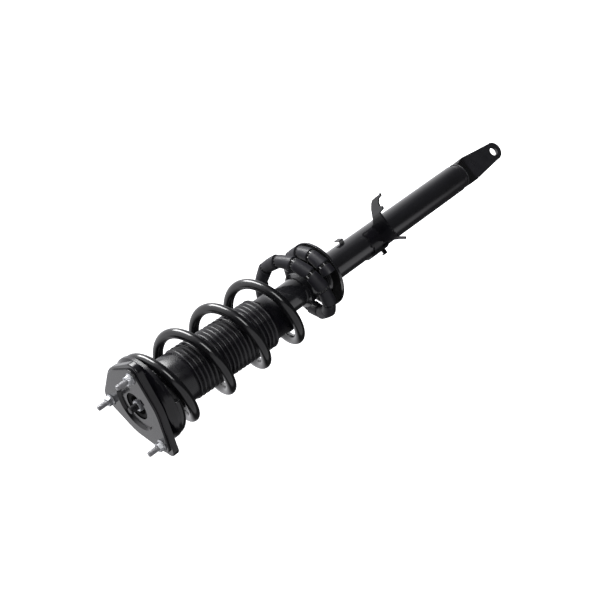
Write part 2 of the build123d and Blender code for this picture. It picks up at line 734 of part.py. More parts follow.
export_step(lower_spring_seat.part, "parts/lower_spring_seat.step")

pad_inset = 3.2          # clear of the turned-up rim
with BuildPart() as lower_isolator:
    with BuildSketch(Plane.XY.offset(dish_z)):
        with Locations((dish_shift, 0)):
            Circle(dish_rim_r - pad_inset)
        Circle(neck_r + neck_flare, mode=Mode.SUBTRACT)
    extrude(amount=lower_pad_t)
lower_isolator.part.label = "lower_isolator"
export_step(lower_isolator.part, "parts/lower_isolator.step")

# ---------------------------------------------------------------- brake hose bracket
bracket_t = 2.5
fin_z = 303.5            # lower face of the flat fin
saddle_top_z = 328.0
strap_low_z = 292.0
strap_top_z = 330.0
tongue_r = 31.0          # where the tongue on the saddle turns across
tongue_w = 7.0
tongue_y = 6.0
tongue_h = 6.5
bands = [                # low, high, and the two angles from -Y towards +X
    (fin_z, saddle_top_z, -32.0, 35.0),
    (strap_low_z, strap_top_z, -122.0, -58.0),
    (fin_z + 4, strap_top_z - 6, -60.0, -31.0),
]
fan_steps = [i / 6 for i in range(7)]
with BuildPart() as bracket_saddle:
    for low, high, first, last in bands:
        fan = [place(first - 90 + (last - first) * s, 3 * tube_r)[:2] for s in fan_steps]
        with BuildSketch(Plane.XY.offset(low)):
            Circle(tube_r + bracket_t)
            Circle(tube_r, mode=Mode.SUBTRACT)
            with BuildLine():
                Polyline((0, 0), *fan, (0, 0))
            make_face(mode=Mode.INTERSECT)
        extrude(amount=high - low)
    with BuildSketch(Plane.XY.offset(strap_low_z)):
        with Locations((-(tube_r + 1 + tongue_r) / 2, tongue_y)):
            Rectangle(tongue_r - tube_r - 1, bracket_t)
        with Locations((-tongue_r, tongue_y + 2)):
            Rectangle(bracket_t, tongue_h)
    extrude(amount=tongue_w)
bracket_saddle.part.label = "bracket_saddle"
export_step(bracket_saddle.part, "parts/bracket_saddle.step")

arm_bend_x = 24.0        # the arm folds down here
arm_bend_y = -46.0
arm_slope = 25.0
tooth_w = 1.8
tooth_depth = 2.4
tooth_edge_y = -58.5     # edge of the fin that carries the teeth
with BuildPart() as hose_bracket:
    with BuildSketch(Plane.XY.offset(fin_z)):
        with BuildLine():
            Polyline(
                (arm_bend_x, -35.0), (arm_bend_x, -57.5), (-1.0, -56.5), (-10.0, -58.0), (-21.5, -59.5),
                (-27.5, -73.5), (-31.0, -72.0), (-25.5, -58.5), (-20.3, -42.0), (-13.0, -10.0),
                (13.5, -10.0), (arm_bend_x - 8.0, -26.5), (arm_bend_x, -35.0),
            )
        make_face()
        Circle(tube_r + bracket_t, mode=Mode.SUBTRACT)
        for tooth_x in (-3.0, -7.2, -11.4, -15.6):
            with Locations((tooth_x, tooth_edge_y)):
                Rectangle(tooth_w, 2 * tooth_depth, mode=Mode.SUBTRACT)
    extrude(amount=bracket_t)
    arm_plane = Plane(
        origin=(arm_bend_x, arm_bend_y, fin_z), z_dir=(sin(radians(arm_slope)), 0, cos(radians(arm_slope))),
    )
    with BuildSketch(arm_plane):
        with BuildLine():
            Polyline(
                (-1.0, 11.0), (12.0, 8.5), (20.0, 4.0), (23.5, -2.0), (23.5, -23.0), (25.0, -25.5),
                (20.5, -26.5), (19.0, -18.0), (13.0, -14.5), (7.0, -16.0), (6.0, -21.0), (4.0, -23.5),
                (0.5, -22.5), (-1.0, -11.5), (-1.0, 11.0),
            )
        make_face()
    extrude(amount=bracket_t)
hose_bracket.part.label = "hose_bracket"
export_step(hose_bracket.part, "parts/hose_bracket.step")

# ---------------------------------------------------------------- wire clip tab
tab_z = 359.0
tab_angle = -22.0
tab_w = 11.0
tab_h = 7.0
tab_t = 1.6
tab_rise = 9.0           # height of its turned-up end
with BuildPart() as wire_tab:
    radial = Plane(origin=(0, 0, tab_z), x_dir=place(tab_angle, 1.0), z_dir=(0, 0, 1))
    with BuildSketch(radial):
        with Locations((tube_r + tab_h / 2 - 1, 0)):
            Rectangle(tab_h + 2, tab_w)
        Circle(tube_r, mode=Mode.SUBTRACT)
    extrude(amount=tab_t)
    with BuildSketch(radial):
        with Locations((tube_r + tab_h - tab_t / 2, 0)):
            Rectangle(tab_t, tab_w)
    extrude(amount=tab_rise)
wire_tab.part.label = "wire_tab"
export_step(wire_tab.part, "parts/wire_tab.step")
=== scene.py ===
"""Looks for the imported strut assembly: camera, light, materials and the detailed pieces.

The pieces' lengths are millimetres, which MM turns into metres. The camera, the floor and the lights
are placed in metres. The strut axis is +Z.
"""

from math import cos, floor, pi, radians, sin

import bpy
from mathutils import Euler, Matrix, Vector


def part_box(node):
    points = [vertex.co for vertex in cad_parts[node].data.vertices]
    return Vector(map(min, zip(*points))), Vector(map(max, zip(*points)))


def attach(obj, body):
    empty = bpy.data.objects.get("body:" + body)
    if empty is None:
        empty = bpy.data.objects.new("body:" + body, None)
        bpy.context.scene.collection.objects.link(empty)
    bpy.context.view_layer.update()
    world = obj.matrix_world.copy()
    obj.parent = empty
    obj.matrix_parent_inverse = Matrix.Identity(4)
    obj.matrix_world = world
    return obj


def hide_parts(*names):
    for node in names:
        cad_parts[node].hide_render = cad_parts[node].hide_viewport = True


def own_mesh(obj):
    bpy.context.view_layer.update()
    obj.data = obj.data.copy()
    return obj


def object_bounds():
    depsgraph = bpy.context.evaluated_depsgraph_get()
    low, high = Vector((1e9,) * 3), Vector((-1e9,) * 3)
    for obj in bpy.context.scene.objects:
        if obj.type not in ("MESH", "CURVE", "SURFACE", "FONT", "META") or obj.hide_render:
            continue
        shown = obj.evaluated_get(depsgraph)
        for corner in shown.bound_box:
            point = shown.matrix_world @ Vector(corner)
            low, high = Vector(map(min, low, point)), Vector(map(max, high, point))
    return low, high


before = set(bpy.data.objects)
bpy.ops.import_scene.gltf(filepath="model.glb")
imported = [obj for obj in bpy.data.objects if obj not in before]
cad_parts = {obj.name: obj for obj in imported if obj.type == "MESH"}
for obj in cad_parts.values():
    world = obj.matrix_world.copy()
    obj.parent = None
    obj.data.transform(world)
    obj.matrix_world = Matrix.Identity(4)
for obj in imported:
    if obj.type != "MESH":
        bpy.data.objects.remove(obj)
cad_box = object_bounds()

MM = 0.001


# ---------------------------------------------------------------- mesh helpers
def at(angle_deg, radius_mm, z_mm=0.0):
    """Point on a circle about the strut axis, in metres."""
    a = radians(angle_deg)
    return Vector((radius_mm * cos(a), radius_mm * sin(a), z_mm)) * MM


def ring_at(z_mm, radius_of, centre=(0.0, 0.0), segments=96):
    """Ring of points about a vertical axis; radius_of gives the radius in millimetres at an angle."""
    ring = []
    for j in range(segments):
        a = 2 * pi * j / segments
        radius = radius_of(a)
        ring.append(Vector((centre[0] + radius * cos(a), centre[1] + radius * sin(a), z_mm)) * MM)
    return ring


def round_ring(radius_mm, z_mm, centre, segments):
    """Round ring of points at a given radius and height."""
    return ring_at(z_mm, lambda a: radius_mm, centre, segments)


def make_object(name, verts, faces, material, smooth_angle=35):
    """A mesh object from points and faces, with its material and smooth shading up to an angle."""
    mesh = bpy.data.meshes.new(name)
    mesh.from_pydata([tuple(v) for v in verts], [], faces)
    mesh.validate()
    mesh.materials.append(material)
    obj = bpy.data.objects.new(name, mesh)
    bpy.context.scene.collection.objects.link(obj)
    mesh.shade_smooth()
    mesh.set_sharp_from_angle(angle=radians(smooth_angle))
    return obj


class Shell:
    """Collects closed skins made of rings of points, so that one object can hold several."""

    def __init__(self):
        self.verts = []
        self.faces = []

    def rings(self, rings, closed_along=False):
        """Joins equal rings of points in order, and caps both ends unless they meet."""
        base = len(self.verts)
        around = len(rings[0])
        for ring in rings:
            self.verts.extend(ring)
        spans = len(rings) if closed_along else len(rings) - 1
        for i in range(spans):
            low = base + i * around
            high = base + ((i + 1) % len(rings)) * around
            for j in range(around):
                k = (j + 1) % around
                self.faces.append((low + j, low + k, high + k, high + j))
        if not closed_along:
            self.faces.append(tuple(base + j for j in reversed(range(around))))
            self.faces.append(tuple(base + (len(rings) - 1) * around + j for j in range(around)))

    def lathe(self, profile_mm, segments):
        """Turns a closed outline of (radius, z) points about the strut axis."""
        rings = [round_ring(radius, z, (0.0, 0.0), segments) for radius, z in profile_mm]
        self.rings(rings, closed_along=True)

    def object(self, name, material, smooth_angle=35):
        return make_object(name, self.verts, self.faces, material, smooth_angle)


# ---------------------------------------------------------------- materials
def surface(
    name, base, base_alt, rough, rough_alt, metallic=0.0, coat=0.0, coat_rough=0.1, specular=0.5,
    tone_scale=60.0, rough_scale=140.0, bump_scale=900.0, bump_mm=0.02, bump_strength=0.3,
    edge=None, edge_mm=0.5, edge_rough=0.35, stretch=(1, 1, 1), specks=0.0, painted_shade_from_mm=None,
):
    """Principled material with mottled tone, mottled gloss, fine bump and worn edges.

    If the last argument gives a height in millimetres, the colour above it is darkened towards near black:
    painted shade for the blade's sloping root below the weld.
    """
    mat = bpy.data.materials.new(name)
    mat.use_nodes = True
    nodes, links = mat.node_tree.nodes, mat.node_tree.links
    shader = nodes["Principled BSDF"]
    shader.inputs["Metallic"].default_value = metallic
    shader.inputs["Coat Weight"].default_value = coat
    shader.inputs["Coat Roughness"].default_value = coat_rough
    shader.inputs["Specular IOR Level"].default_value = specular
    coords = nodes.new("ShaderNodeTexCoord")
    mapping = nodes.new("ShaderNodeMapping")
    mapping.inputs["Scale"].default_value = stretch
    links.new(coords.outputs["Object"], mapping.inputs["Vector"])

    def noise(scale, detail):
        node = nodes.new("ShaderNodeTexNoise")
        node.inputs["Scale"].default_value = scale
        node.inputs["Detail"].default_value = detail
        links.new(mapping.outputs["Vector"], node.inputs["Vector"])
        return node.outputs["Fac"]

    def spread(value, low, high, out_low=0.0, out_high=1.0):
        node = nodes.new("ShaderNodeMapRange")
        node.inputs["From Min"].default_value = low
        node.inputs["From Max"].default_value = high
        node.inputs["To Min"].default_value = out_low
        node.inputs["To Max"].default_value = out_high
        links.new(value, node.inputs["Value"])
        return node.outputs["Result"]

    def mix(factor, first, second, kind="RGBA"):
        node = nodes.new("ShaderNodeMix")
        node.data_type = kind
        links.new(factor, node.inputs[0])
        start = {"RGBA": 6, "FLOAT": 2}[kind]
        for socket, value in ((node.inputs[start], first), (node.inputs[start + 1], second)):
            if isinstance(value, bpy.types.NodeSocket):
                links.new(value, socket)
            else:
                socket.default_value = (*value, 1.0) if kind == "RGBA" else value
        return node.outputs[2 if kind == "RGBA" else 0]

    colour = mix(spread(noise(tone_scale, 6.0), 0.35, 0.65), base, base_alt)
    roughness = spread(noise(rough_scale, 5.0), 0.35, 0.68, rough, rough_alt)
    # Painted shade: above the given height the colour fades to near black, standing in for the shade on the
    # blade's sloping root.
    if painted_shade_from_mm is not None:
        split = nodes.new("ShaderNodeSeparateXYZ")
        links.new(coords.outputs["Object"], split.inputs[0])
        painted_shade_mask = spread(split.outputs["Z"], (painted_shade_from_mm - 3) * MM, (painted_shade_from_mm + 3) * MM)
        colour = mix(painted_shade_mask, colour, (0.003, 0.003, 0.0036))
    if specks:
        dust = spread(noise(bump_scale * 1.7, 2.0), 0.66, 0.72, 0.0, specks)
        colour = mix(dust, colour, (0.35, 0.35, 0.34))
    bevel = nodes.new("ShaderNodeBevel")
    bevel.samples = 4
    bevel.inputs["Radius"].default_value = edge_mm * MM
    if edge is not None:
        geometry = nodes.new("ShaderNodeNewGeometry")
        dot = nodes.new("ShaderNodeVectorMath")
        dot.operation = "DOT_PRODUCT"
        links.new(bevel.outputs["Normal"], dot.inputs[0])
        links.new(geometry.outputs["Normal"], dot.inputs[1])
        near_edge = spread(dot.outputs["Value"], 0.97, 0.80)
        patchy = spread(noise(tone_scale * 5, 6.0), 0.52, 0.66)
        worn = nodes.new("ShaderNodeMath")
        worn.operation = "MULTIPLY"
        links.new(near_edge, worn.inputs[0])
        links.new(patchy, worn.inputs[1])
        colour = mix(worn.outputs[0], colour, edge)
        roughness = mix(worn.outputs[0], roughness, edge_rough, "FLOAT")
    bump = nodes.new("ShaderNodeBump")
    bump.inputs["Strength"].default_value = bump_strength
    bump.inputs["Distance"].default_value = bump_mm * MM
    links.new(noise(bump_scale, 3.0), bump.inputs["Height"])
    links.new(bevel.outputs["Normal"], bump.inputs["Normal"])
    links.new(colour, shader.inputs["Base Color"])
    links.new(roughness, shader.inputs["Roughness"])
    links.new(bump.outputs["Normal"], shader.inputs["Normal"])
    return mat


GLOSS = surface(
    "gloss_black_paint", (0.0026, 0.0025, 0.0036), (0.0044, 0.0042, 0.006), 0.15, 0.22, coat=0.15,
    coat_rough=0.05, bump_scale=160, bump_mm=0.02, bump_strength=0.12, edge=(0.03, 0.03, 0.032),
    specks=0.015,
)
TUBE = surface(
    "tube_black_paint", (0.008, 0.008, 0.0095), (0.011, 0.011, 0.013), 0.16, 0.24, coat=1.0,
    coat_rough=0.10, specular=0.7, bump_scale=160, bump_mm=0.02, bump_strength=0.08,
    edge=(0.10, 0.10, 0.11), stretch=(1, 1, 0.35), specks=0.015,
)
# Blade paint with painted shade: the colour is darkened above 66 mm, over the sloping root.
BLADE = surface(
    "blade_paint", (0.013, 0.013, 0.0155), (0.018, 0.018, 0.021), 0.26, 0.34, coat=0.4,
    coat_rough=0.12, bump_scale=200, bump_mm=0.02, bump_strength=0.12, edge=(0.06, 0.06, 0.06),
    specks=0.015, painted_shade_from_mm=66.0,
)
COIL = surface(
    "spring_powder_coat", (0.0036, 0.0036, 0.0045), (0.006, 0.006, 0.007), 0.16, 0.24, coat=0.4,
    coat_rough=0.10, bump_scale=220, bump_mm=0.02, bump_strength=0.15, edge=(0.04, 0.04, 0.04),
    specks=0.05,
)
ZINC = surface(
    "bright_zinc", (0.66, 0.67, 0.69), (0.52, 0.53, 0.55), 0.30, 0.42, metallic=1.0,
    tone_scale=180, bump_scale=900, bump_mm=0.005, bump_strength=0.08, edge=(0.72, 0.74, 0.76), edge_mm=0.3,
)
STUD_STEEL = surface(
    "zinc_stud", (0.42, 0.42, 0.43), (0.30, 0.30, 0.31), 0.34, 0.48, metallic=0.9,
    tone_scale=180, bump_scale=900, bump_mm=0.01, bump_strength=0.2, edge=(0.6, 0.6, 0.6), edge_mm=0.3,
)
NUT_STEEL = surface(
    "plated_lock_nut", (0.62, 0.63, 0.65), (0.45, 0.46, 0.48), 0.22, 0.36, metallic=0.45,
    tone_scale=180, bump_scale=900, bump_mm=0.01, bump_strength=0.2, edge=(0.9, 0.9, 0.92), edge_mm=0.4,
)
CHROME = surface(
    "hard_chrome", (0.55, 0.55, 0.56), (0.48, 0.48, 0.49), 0.10, 0.20, metallic=1.0,
    tone_scale=90, bump_scale=1600, bump_mm=0.01, stretch=(1, 1, 0.1), edge_mm=0.3,
)
ROD_END = surface(
    "rod_end_steel", (0.030, 0.030, 0.032), (0.06, 0.06, 0.062), 0.3, 0.5, metallic=1.0,
    tone_scale=260, bump_scale=1400, bump_mm=0.02, edge=(0.3, 0.3, 0.3), edge_mm=0.25,
)
STEEL = surface(
    "machined_steel", (0.34, 0.34, 0.35), (0.26, 0.26, 0.27), 0.25, 0.42, metallic=1.0,
    tone_scale=120, bump_scale=1600, bump_mm=0.02, stretch=(1, 1, 4), edge=(0.6, 0.6, 0.6),
)
SINTER = surface(
    "sintered_iron", (0.16, 0.16, 0.165), (0.10, 0.10, 0.10), 0.5, 0.7, metallic=1.0,
    tone_scale=500, bump_scale=2600, bump_mm=0.05, bump_strength=0.6, edge=(0.35, 0.35, 0.35),
)
RUBBER = surface(
    "moulded_rubber", (0.004, 0.004, 0.004), (0.007, 0.007, 0.007), 0.6, 0.8, specular=0.15,
    bump_scale=900, bump_mm=0.05, bump_strength=0.4, specks=0.05,
)
BOOT = surface(
    "boot_rubber", (0.0026, 0.0024, 0.0040), (0.0040, 0.0037, 0.0058), 0.24, 0.32, specular=0.6,
    bump_scale=260, bump_mm=0.02, bump_strength=0.06, edge_mm=0.3, specks=0.01,
)
SLEEVE = surface(
    "sleeve_plastic", (0.0080, 0.0078, 0.0112), (0.011, 0.0107, 0.015), 0.42, 0.55, specular=0.40,
    bump_scale=700, bump_mm=0.05, bump_strength=0.4, edge=(0.05, 0.05, 0.05), edge_mm=0.3, specks=0.04,
)
JOINT = surface(
    "sleeve_joint_gloss", (0.005, 0.005, 0.006), (0.010, 0.010, 0.011), 0.12, 0.22, coat=0.5,
    bump_scale=700, bump_mm=0.03, edge_mm=0.2,
)
FOAM = surface(
    "bump_stop_foam", (0.36, 0.29, 0.13), (0.28, 0.22, 0.09), 0.75, 0.9, specular=0.2,
    tone_scale=200, bump_scale=2400, bump_mm=0.15, bump_strength=0.8, edge_mm=0.4,
)

cad_finish = {
    "upper_mount_plate": GLOSS, "lower_mount_plate": GLOSS, "upper_spring_seat": GLOSS,
    "upper_isolator": RUBBER, "mount_bush": RUBBER, "bush_sleeve": STEEL, "rod_washer": ZINC,
    "bump_stop_cup": GLOSS, "bump_stop": FOAM, "rebound_stop": STEEL, "piston": SINTER,
    "piston_band": SLEEVE, "piston_nut": STEEL, "strut_tube": TUBE, "rod_guide": SINTER,
    "rod_seal": RUBBER, "striker_cap": SLEEVE, "pressure_tube": STEEL, "base_valve": SINTER,
    "base_cup": TUBE, "lower_blade": BLADE, "lower_spring_seat": TUBE, "lower_isolator": RUBBER,
    "bracket_saddle": GLOSS, "hose_bracket": GLOSS, "wire_tab": BLADE,
}
for node_name, finish in cad_finish.items():
    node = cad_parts[node_name]
    node.data.materials.clear()
    node.data.materials.append(finish)


# ---------------------------------------------------------------- threads, nuts and the rod
thread_pitch = 1.25      # M8 coarse and M10 fine have the same pitch
thread_depth = 0.5 * thread_pitch
rings_per_pitch = 8
tip_chamfer_h = 0.9 * thread_pitch
tip_chamfer_depth = 1.15 * thread_depth


def thread_rings(outer_mm, low_mm, high_mm, centre, segments):
    """Rings of points for a bolt end with a real helical thread and a chamfered tip."""
    def thread_radius(z):
        tip = max(0.0, 1.0 - (high_mm - z) / tip_chamfer_h)
        tip_limit = outer_mm - tip_chamfer_depth * tip

        def radius_of(a):
            turn = z / thread_pitch - a / (2 * pi)
            ridge = abs(2 * (turn - floor(turn)) - 1)
            ridge = min(max(ridge * 1.35 - 0.12, 0.0), 1.0)      # flat crests and roots
            return min(outer_mm - thread_depth * (1 - ridge), tip_limit)

        return radius_of

    count = round((high_mm - low_mm) / thread_pitch * rings_per_pitch)
    heights = [low_mm + (high_mm - low_mm) * i / count for i in range(count + 1)]
    return [ring_at(z, thread_radius(z), centre, segments) for z in heights]


def hex_nut(shell, centre, low_mm, flange_r, flange_t, across, height, bore, turn_deg):
    """A flange nut: dished flange, cone up to the hexagon, and conical chamfers on the corners."""
    def hex_radius(a):
        third = (a - radians(turn_deg)) % (pi / 3) - pi / 6
        return across / 2 / cos(third)

    corner = across / 2 / cos(pi / 6)
    steps = [
        (low_mm, flange_r - 0.3, False), (low_mm + 0.3, flange_r, False),
        (low_mm + flange_t * 0.55, flange_r, False), (low_mm + flange_t * 0.8, flange_r - 0.35, False),
        (low_mm + flange_t + 0.2, corner + 0.25, False), (low_mm + flange_t + 0.9, corner, True),
        (low_mm + height - 1.3, corner, True), (low_mm + height - 0.5, corner - 0.55, True),
        (low_mm + height, across / 2 - 0.25, True), (low_mm + height, bore + 0.7, False),
        (low_mm + height - 0.7, bore, False), (low_mm + 0.6, bore, False), (low_mm, bore + 0.6, False),
    ]
    rings = []
    for z, limit, is_hex in steps:
        if is_hex:
            rings.append(ring_at(z, lambda a: min(limit, hex_radius(a)), centre))
        else:
            rings.append(ring_at(z, lambda a: limit, centre))
    shell.rings(rings, closed_along=True)


mount_face = 775.5       # top of the upper mount plate
stud_circle = 61.25
stud_angles = [182.5, 302.5, 62.5]
stud_centres = [(stud_circle * cos(radians(a)), stud_circle * sin(radians(a))) for a in stud_angles]
stud_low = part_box("mount_studs")[0].z / MM
stud_tip = mount_face + 23.0
stud_head_r = 7.0
stud_head_t = 2.5
stud_shank_r = 4.3
stud_sides = 40
thread_inset = 0.02      # threads stay this far inside the plain rod
nut_turns = (8.0, 21.0, -14.0)

studs = Shell()
nuts = Shell()
for centre, turn in zip(stud_centres, nut_turns):
    stud_line = [
        (stud_head_r - 0.3, stud_low), (stud_head_r, stud_low + 0.3),
        (stud_head_r, stud_low + stud_head_t), (stud_shank_r, stud_low + stud_head_t),
        (stud_shank_r, mount_face), (3.5, mount_face + 0.2),
    ]
    rings = [round_ring(radius, z, centre, stud_sides) for radius, z in stud_line]
    rings += thread_rings(4.0 - thread_inset, mount_face + 7.0, stud_tip, centre, stud_sides)
    studs.rings(rings)
    hex_nut(
        nuts, centre, mount_face, flange_r=8.6, flange_t=1.6, across=12.7, height=8.0, bore=4.0,
        turn_deg=turn,
    )
stud_piece = studs.object("stud_threads", STUD_STEEL, 60)
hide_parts("mount_studs")
nut_piece = nuts.object("stud_flange_nuts", ZINC, 25)
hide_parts("stud_nuts")

rod_axis = (0.0, 0.0)
rod_nut = Shell()
hex_nut(
    rod_nut, rod_axis, 762.0, flange_r=10.9, flange_t=2.0, across=15.8, height=10.0, bore=5.0,
    turn_deg=12.0,
)
rod_nut_piece = rod_nut.object("rod_lock_nut", NUT_STEEL, 25)
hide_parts("rod_nut")

rod_r = 7.0
rod_neck_r = 5.0         # piston spigot below, M10 thread above
rod_low = 458.0
rod_step = 492.0         # top of the piston
rod_shoulder = 738.0
rod_tip = 783.5
rod_sides = 48
rod_line = [
    (rod_neck_r - 0.8, rod_low), (rod_neck_r, rod_low + 0.8), (rod_neck_r, rod_step),
    (rod_r - 0.4, rod_step), (rod_r, rod_step + 0.6), (rod_r, rod_shoulder - 0.4),
    (rod_r - 0.4, rod_shoulder), (rod_neck_r, rod_shoulder), (rod_neck_r, 760.0), (4.4, 760.4),
]
rod = Shell()
rod_rings = [round_ring(radius, z, rod_axis, rod_sides) for radius, z in rod_line]
rod_rings += thread_rings(rod_neck_r - thread_inset, 771.0, rod_tip, rod_axis, rod_sides)
rod.rings(rod_rings)
rod_piece = rod.object("rod_with_thread", ROD_END, 50)
rod_piece.data.materials.append(CHROME)
for face in rod_piece.data.polygons:
    if face.center.z < rod_shoulder * MM:
        face.material_index = 1
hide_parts("piston_rod")

for piece in (stud_piece, nut_piece, rod_nut_piece, rod_piece):
    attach(piece, "top_mount")


# ---------------------------------------------------------------- weld between the base cup and the blade
weld_r = 20.3
weld_bead_r = 1.5
weld_z = 91.0
weld_ripples = 46        # fine ripples of the bead, on a slower swell
weld_steps = 5 * weld_ripples
weld_sides = 12
weld = Shell()
weld_rings = []
for i in range(weld_steps):
    angle = 360.0 * i / weld_steps
    ripple = 0.16 * cos(radians(angle * weld_ripples))
    swell = 0.10 * cos(radians(3 * angle))
    bead = weld_bead_r * (1 + ripple + swell)
    ring = []
    for j in range(weld_sides):
        a = 2 * pi * j / weld_sides
        ring.append(at(angle, weld_r + bead * cos(a), weld_z + bead * sin(a)))
    weld_rings.append(ring)
weld.rings(weld_rings, closed_along=True)
weld_piece = weld.object("blade_weld", GLOSS, 60)
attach(weld_piece, "damper")


# ---------------------------------------------------------------- coil spring and its sleeves
wire_r = 7.4
coil_r = 55.9
tail_coil_r = 47.5
first_coil_z = 743.5
coil_pitch = 67.0
tip_angle = 245.0
coil_turns = 5.95
rim_clearance = 0.38     # keeps the closed top coil off the seat's rim when the spring is compressed
rim_until, rim_ends = 0.9, 1.3           # turns over which that clearance fades out
shrink_from, shrink_to = 4.62, 5.45      # turns over which the tail is drawn in


def coil_drop(turn):
    """Fall of the wire centre below the first coil, with closed ends and an open middle."""
    start, full, slow, flat = 0.55, 0.95, 5.10, 5.62
    ramp_in = coil_pitch * (full - start) / 2
    if turn < start:
        return 0.0
    if turn < full:
        return coil_pitch * (turn - start) ** 2 / (2 * (full - start))
    if turn < slow:
        return ramp_in + coil_pitch * (turn - full)
    late = min(turn, flat) - slow
    return ramp_in + coil_pitch * (slow - full + late - late ** 2 / (2 * (flat - slow)))


def coil_radius(turn):
    """Mean radius: just inside the seat's rim, then constant, then drawn in over the last turn."""
    out = min(max((turn - rim_until) / (rim_ends - rim_until), 0.0), 1.0)
    s = min(max((turn - shrink_from) / (shrink_to - shrink_from), 0.0), 1.0)
    return coil_r - rim_clearance * (1 - out) + (tail_coil_r - coil_r) * s * s * (3 - 2 * s)


def wire_point(turn):
    """Centre of the wire; the coil is right-handed, so it turns clockwise going down."""
    return at(tip_angle - 360 * turn, coil_radius(turn), first_coil_z - coil_drop(turn))


def wire_ring(turn, radii_mm, around):
    """Points round the wire at a place along it; radii_mm is one radius, or one for each point."""
    step = 0.002
    tangent = (wire_point(turn + step) - wire_point(turn - step)).normalized()
    centre = wire_point(turn)
    outward = Vector((centre.x, centre.y, 0)).normalized()
    side = tangent.cross(outward).normalized()
    outward = side.cross(tangent).normalized()
    ring = []
    for j in range(around):
        a = 2 * pi * j / around
        radius = radii_mm if isinstance(radii_mm, float) else radii_mm[j]
        ring.append(centre + (outward * cos(a) + side * sin(a)) * radius * MM)
    return ring


wire_sides = 32
wire_steps_per_turn = 56
wire_end_bevel = 1.2
wire_end = 0.003         # in turns, length of the bevel
steps = int(coil_turns * wire_steps_per_turn)
wire = Shell()
wire_rings = [wire_ring(0.0, wire_r - wire_end_bevel, wire_sides)]
for i in range(steps + 1):
    turn = wire_end + (coil_turns - 2 * wire_end) * i / steps
    wire_rings.append(wire_ring(turn, wire_r, wire_sides))
wire_rings.append(wire_ring(coil_turns, wire_r - wire_end_bevel, wire_sides))
wire.rings(wire_rings)
wire_piece = wire.object("spring_wire", COIL, 40)
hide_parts("coil_spring")
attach(wire_piece, "spring_unit")

sleeve_r = 10.7
sleeved_from = 4.327     # in turns from the upper end
segments_per_turn = 12
segment_gap = 0.012      # in turns, between two segments
segment_count = 20
straightness = 0.80      # 0 follows the coil, 1 makes each segment a straight tube
sleeve_taper = 1.1       # each segment is narrower at its start, inside the one before
sleeve_bore = wire_r + 0.3
joint_bore = wire_r + 0.1
joint_overlap = 0.004    # in turns, tucked under the segments on both sides
teeth = 12
around = teeth * 4


def sleeve_ring(first, last, share, radii_mm):
    """Ring of a sleeve segment, drawn towards the straight line between the segment's ends."""
    turn = first + (last - first) * share
    chord = wire_point(first).lerp(wire_point(last), share)
    shift = (chord - wire_point(turn)) * straightness
    return [p + shift for p in wire_ring(turn, radii_mm, around)]


sleeve_line = [(0.0, sleeve_bore), (0.0, sleeve_r - 1.6), (0.015, sleeve_r - 1.3)]
sleeve_line += [(0.04, sleeve_r - sleeve_taper)]
sleeve_line += [(k / 10, sleeve_r - sleeve_taper + sleeve_taper * k / 10) for k in range(1, 10)]
sleeve_line += [(0.97, sleeve_r), (0.99, sleeve_r - 0.2), (1.0, sleeve_r - 0.6), (1.0, sleeve_bore)]
sleeves = Shell()
joints = Shell()
tooth_ring = [sleeve_r - 1.7 if (j // 2) % 2 else sleeve_r - 2.8 for j in range(around)]
joint_line = [(0.0, joint_bore), (0.0, tooth_ring), (1.0, tooth_ring), (1.0, joint_bore)]
for i in range(segment_count):
    first = sleeved_from + i / segments_per_turn
    last = min(first + 1 / segments_per_turn - segment_gap, coil_turns)
    rings = [sleeve_ring(first, last, share, radii) for share, radii in sleeve_line]
    sleeves.rings(rings, closed_along=True)
    if i < segment_count - 1:
        low_end = last - joint_overlap
        span = first + 1 / segments_per_turn + joint_overlap - low_end
        rings = [wire_ring(low_end + span * share, radii, around) for share, radii in joint_line]
        joints.rings(rings, closed_along=True)
sleeve_piece = sleeves.object("sleeve_segments", SLEEVE, 40)
joint_piece = joints.object("sleeve_joints", JOINT, 30)
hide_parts("spring_sleeves")
for piece in (sleeve_piece, joint_piece):
    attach(piece, "spring_unit")

# ---------------------------------------------------------------- dust boot
boot_r = 38.6
boot_wall = 1.8
boot_top = 743.5
rib_top = 694.0
rib_pitch = 7.35
rib_count = 20
rib_depth = 2.6
boot_end = 512.0
skirt_r = 33.0
plain_inset = 0.6        # the plain top is this much slimmer than boot_r
rib_proud = 0.9          # and the ribs stand out past boot_r by this
rib_points = 10          # points along each rib
lip_proud = 0.8          # thicker lip round the lower end
flange_t = 2.4
flange_r = 27.0
boot_sides = 128
boot_sag = 7.8           # the free lower end leans towards -X and rests on the tube
lean_slope = boot_sag / (boot_top - boot_end)


def boot_profile(shift):
    """Outline of the boot from its top edge to its lower lip, moved inwards by shift."""
    line = [(boot_r - 0.9, boot_top), (boot_r - plain_inset, boot_top - 0.6),
            (boot_r - plain_inset, rib_top + 1.6), (boot_r - 0.8, rib_top)]
    for i in range(rib_count):
        top = rib_top - i * rib_pitch
        for k in range(1, rib_points + 1):
            share = k / rib_points
            lift = (0.5 - 0.5 * cos(2 * pi * share)) ** 0.6      # broad crest, narrow valley
            line.append((boot_r - rib_depth + (rib_depth + rib_proud) * lift, top - rib_pitch * share))
    low = rib_top - rib_count * rib_pitch
    line += [(boot_r - 3.4, low - 1.6), (skirt_r + 0.9, low - 3.6), (skirt_r, low - 5.0),
             (skirt_r, boot_end + 4.0), (skirt_r + lip_proud, boot_end + 3.2),
             (skirt_r + lip_proud, boot_end + 0.5), (skirt_r + 0.3, boot_end)]
    return [(radius - shift, z) for radius, z in line]


